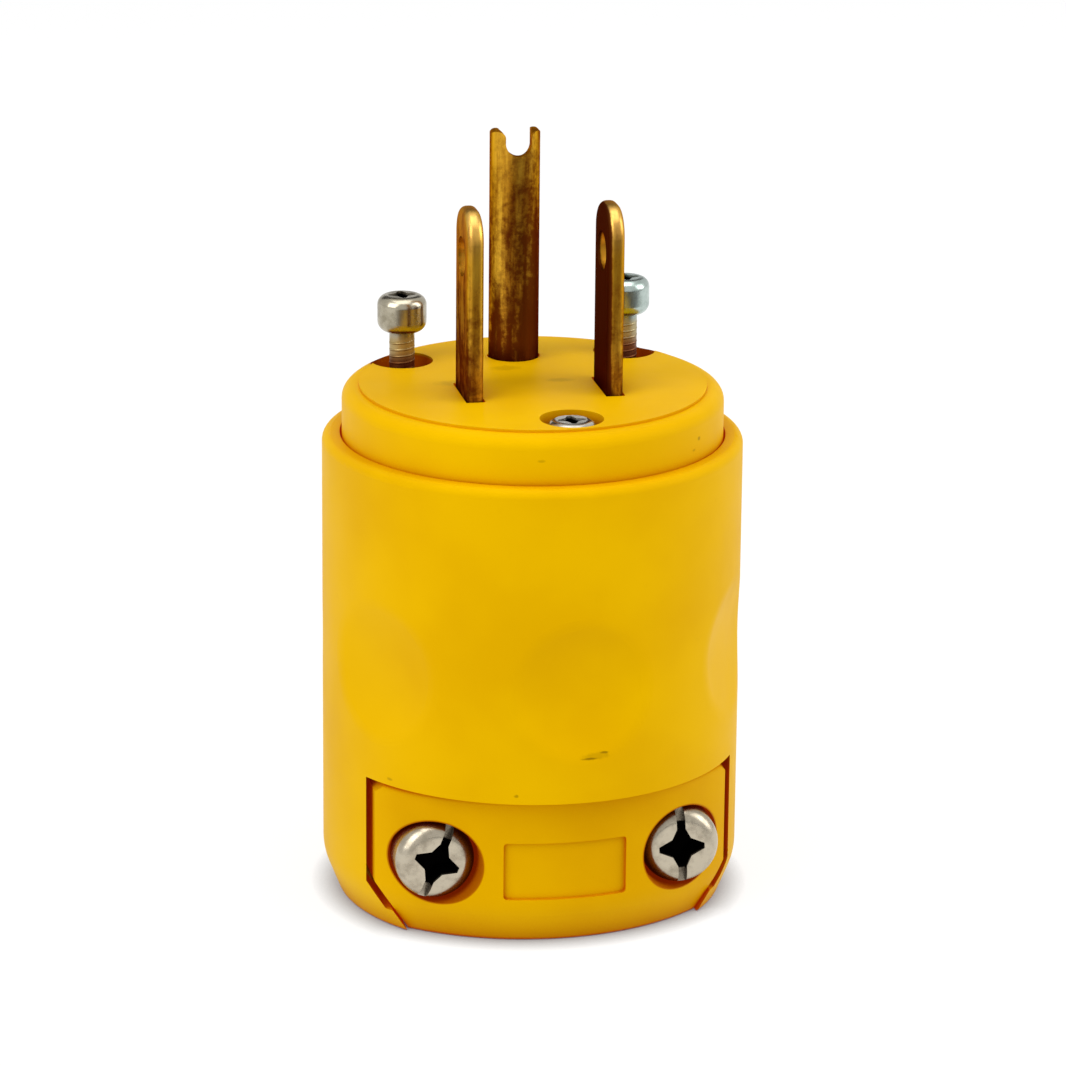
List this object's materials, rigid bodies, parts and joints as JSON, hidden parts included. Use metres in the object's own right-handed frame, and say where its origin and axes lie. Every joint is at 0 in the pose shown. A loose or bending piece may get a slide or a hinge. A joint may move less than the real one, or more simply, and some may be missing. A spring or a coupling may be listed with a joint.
{
  "type": "electrical plug",
  "caption": "Rewirable grounding plug: flat brass blades and a U-shaped ground pin on a round face, a yellow cover with finger dimples, and a screwed cord clamp in its open foot.",
  "frame": {"origin": "on the plug's axis, at the foot of the cover, where the cord enters", "axes": "+Z along the axis from the cord end to the blades, X across the two blades, +Y to the ground pin, -Y to the clamp's moving jaw"},
  "size_m": [0.0381, 0.0382, 0.0691],
  "materials": {
    "cover_plastic": "yellow moulded plastic, satin",
    "face_plastic": "yellow moulded plastic, satin",
    "block_plastic": "pale moulded plastic",
    "clamp_plastic": "yellow moulded plastic, satin",
    "blade_brass": "stamped brass, dulled",
    "terminal_brass": "plain brass",
    "terminal_steel": "plated steel",
    "terminal_green": "green finish",
    "screw_steel": "zinc plated, dull",
    "insert_brass": "plain brass"
  },
  "bodies": {
    "plug": {"cover": "cover_plastic", "face_body": "face_plastic", "terminal_block": "block_plastic", "hot_blade": "blade_brass", "neutral_blade": "blade_brass", "ground_pin": "blade_brass", "hot_terminal_screw": "terminal_brass", "neutral_terminal_screw": "terminal_steel", "ground_terminal_screw": "terminal_green", "hot_pressure_plate": "terminal_brass", "neutral_pressure_plate": "terminal_steel", "ground_pressure_plate": "terminal_brass", "left_assembly_screw": "screw_steel", "right_assembly_screw": "screw_steel", "front_assembly_screw": "screw_steel", "left_insert": "insert_brass", "right_insert": "insert_brass", "front_insert": "insert_brass"},
    "clamp": {"cord_clamp_jaw": "clamp_plastic", "left_clamp_screw": "screw_steel", "right_clamp_screw": "screw_steel"}
  },
  "joints": [
    {"name": "cord_clamp_slide", "type": "slide", "parent": "plug", "child": "clamp", "axis": [0, 1, 0], "range_m": [0, 0.0046]}
  ]
}
